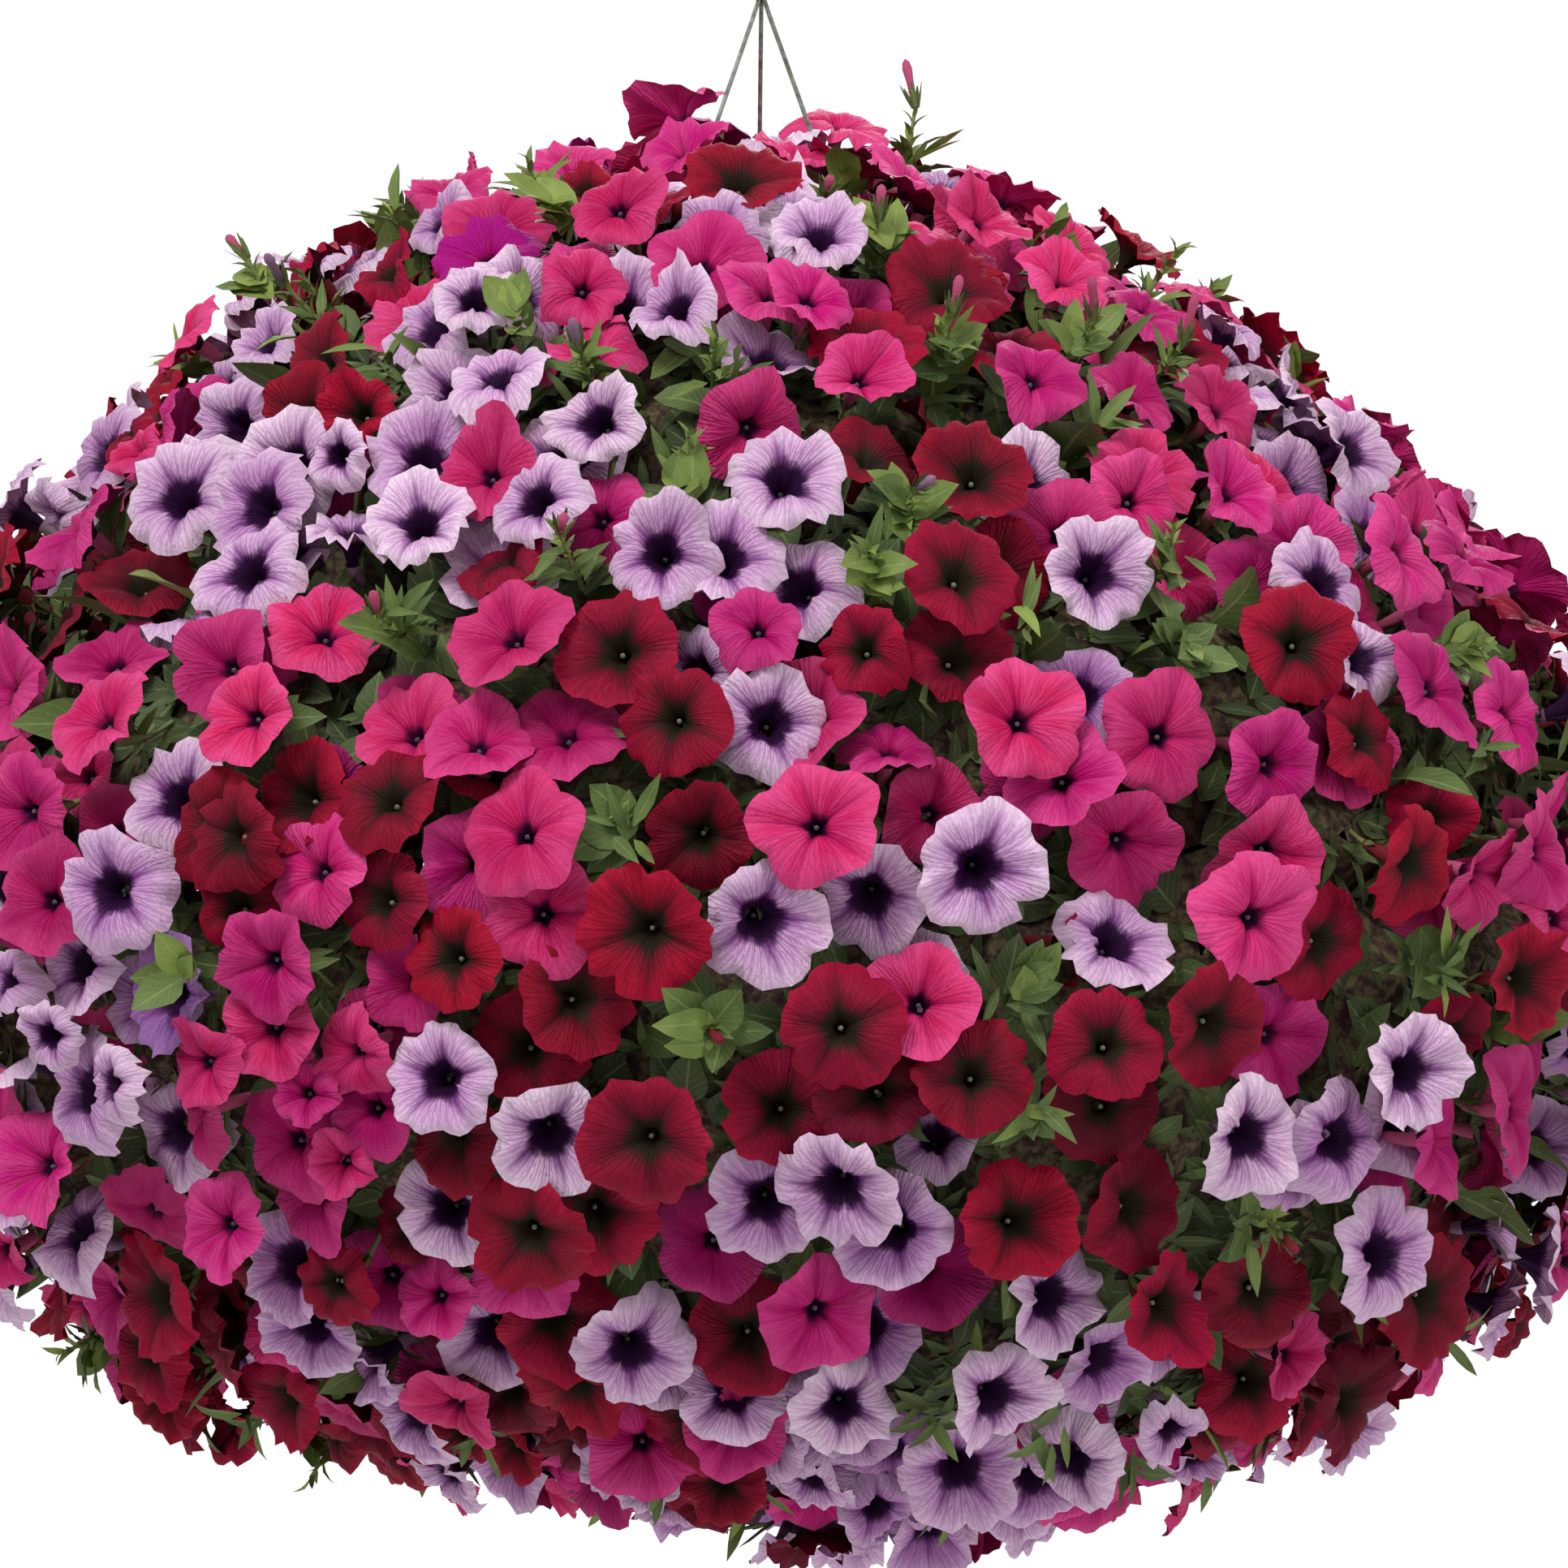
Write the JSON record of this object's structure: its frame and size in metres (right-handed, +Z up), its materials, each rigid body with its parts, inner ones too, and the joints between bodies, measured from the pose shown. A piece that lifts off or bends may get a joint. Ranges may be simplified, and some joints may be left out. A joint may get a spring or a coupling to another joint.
{
  "type": "petunia hanging basket",
  "caption": "Hanging pot on steel wires, hidden in a round mass of pink, red and lavender petunias with green leaves",
  "frame": {"origin": "inside top of the hook, where the basket hangs", "axes": "+Z up through the hook and pot axis, +X to the right of the pictured side, -Y towards the camera"},
  "size_m": [0.8447, 0.8485, 0.7867],
  "materials": {
    "petals_pink": "soft matte petal, deeper magenta throat",
    "petals_red": "velvety crimson petal, near-black throat",
    "petals_violet": "pale lavender petal, purple veins and throat",
    "foliage": "matte green leaf, fine hairs",
    "pot_plastic": "moulded dark green",
    "potting_soil": "damp, crumbly potting compost",
    "hanger_steel": "dull galvanised wire"
  },
  "bodies": {
    "root": {"hook": "hanger_steel", "sleeve": "hanger_steel", "wire_1": "hanger_steel", "wire_2": "hanger_steel", "wire_3": "hanger_steel", "pot": "pot_plastic", "soil": "potting_soil", "spray_crown_01": "petals_pink", "spray_crown_02": "petals_violet", "spray_crown_03": "petals_pink", "spray_shoulder_01": "petals_violet", "spray_shoulder_02": "petals_violet", "spray_shoulder_03": "petals_pink", "spray_shoulder_04": "petals_red", "spray_shoulder_05": "petals_pink", "spray_shoulder_06": "petals_pink", "spray_shoulder_07": "petals_red", "spray_shoulder_08": "petals_pink", "spray_shoulder_09": "petals_pink", "spray_upper_01": "petals_pink", "spray_upper_02": "petals_red", "spray_upper_03": "petals_red", "spray_upper_04": "petals_pink", "spray_upper_05": "petals_violet", "spray_upper_06": "petals_pink", "spray_upper_07": "petals_pink", "spray_upper_08": "petals_red", "spray_upper_09": "petals_pink", "spray_upper_10": "petals_violet", "spray_upper_11": "petals_red", "spray_upper_12": "petals_pink", "spray_waist_01": "petals_violet", "spray_waist_02": "petals_violet", "spray_waist_03": "petals_pink", "spray_waist_04": "petals_red", "spray_waist_05": "petals_violet", "spray_waist_06": "petals_pink", "spray_waist_07": "petals_violet", "spray_waist_08": "petals_pink", "spray_waist_09": "petals_pink", "spray_waist_10": "petals_violet", "spray_waist_11": "petals_violet", "spray_waist_12": "petals_pink", "spray_waist_13": "petals_red", "spray_waist_14": "petals_pink", "spray_waist_15": "petals_pink", "spray_lower_01": "petals_red", "spray_lower_02": "petals_violet", "spray_lower_03": "petals_pink", "spray_lower_04": "petals_pink", "spray_lower_05": "petals_violet", "spray_lower_06": "petals_red", "spray_lower_07": "petals_red", "spray_lower_08": "petals_violet", "spray_lower_09": "petals_violet", "spray_under_01": "petals_violet", "spray_under_02": "petals_violet", "spray_under_03": "petals_red"}
  },
  "joints": []
}
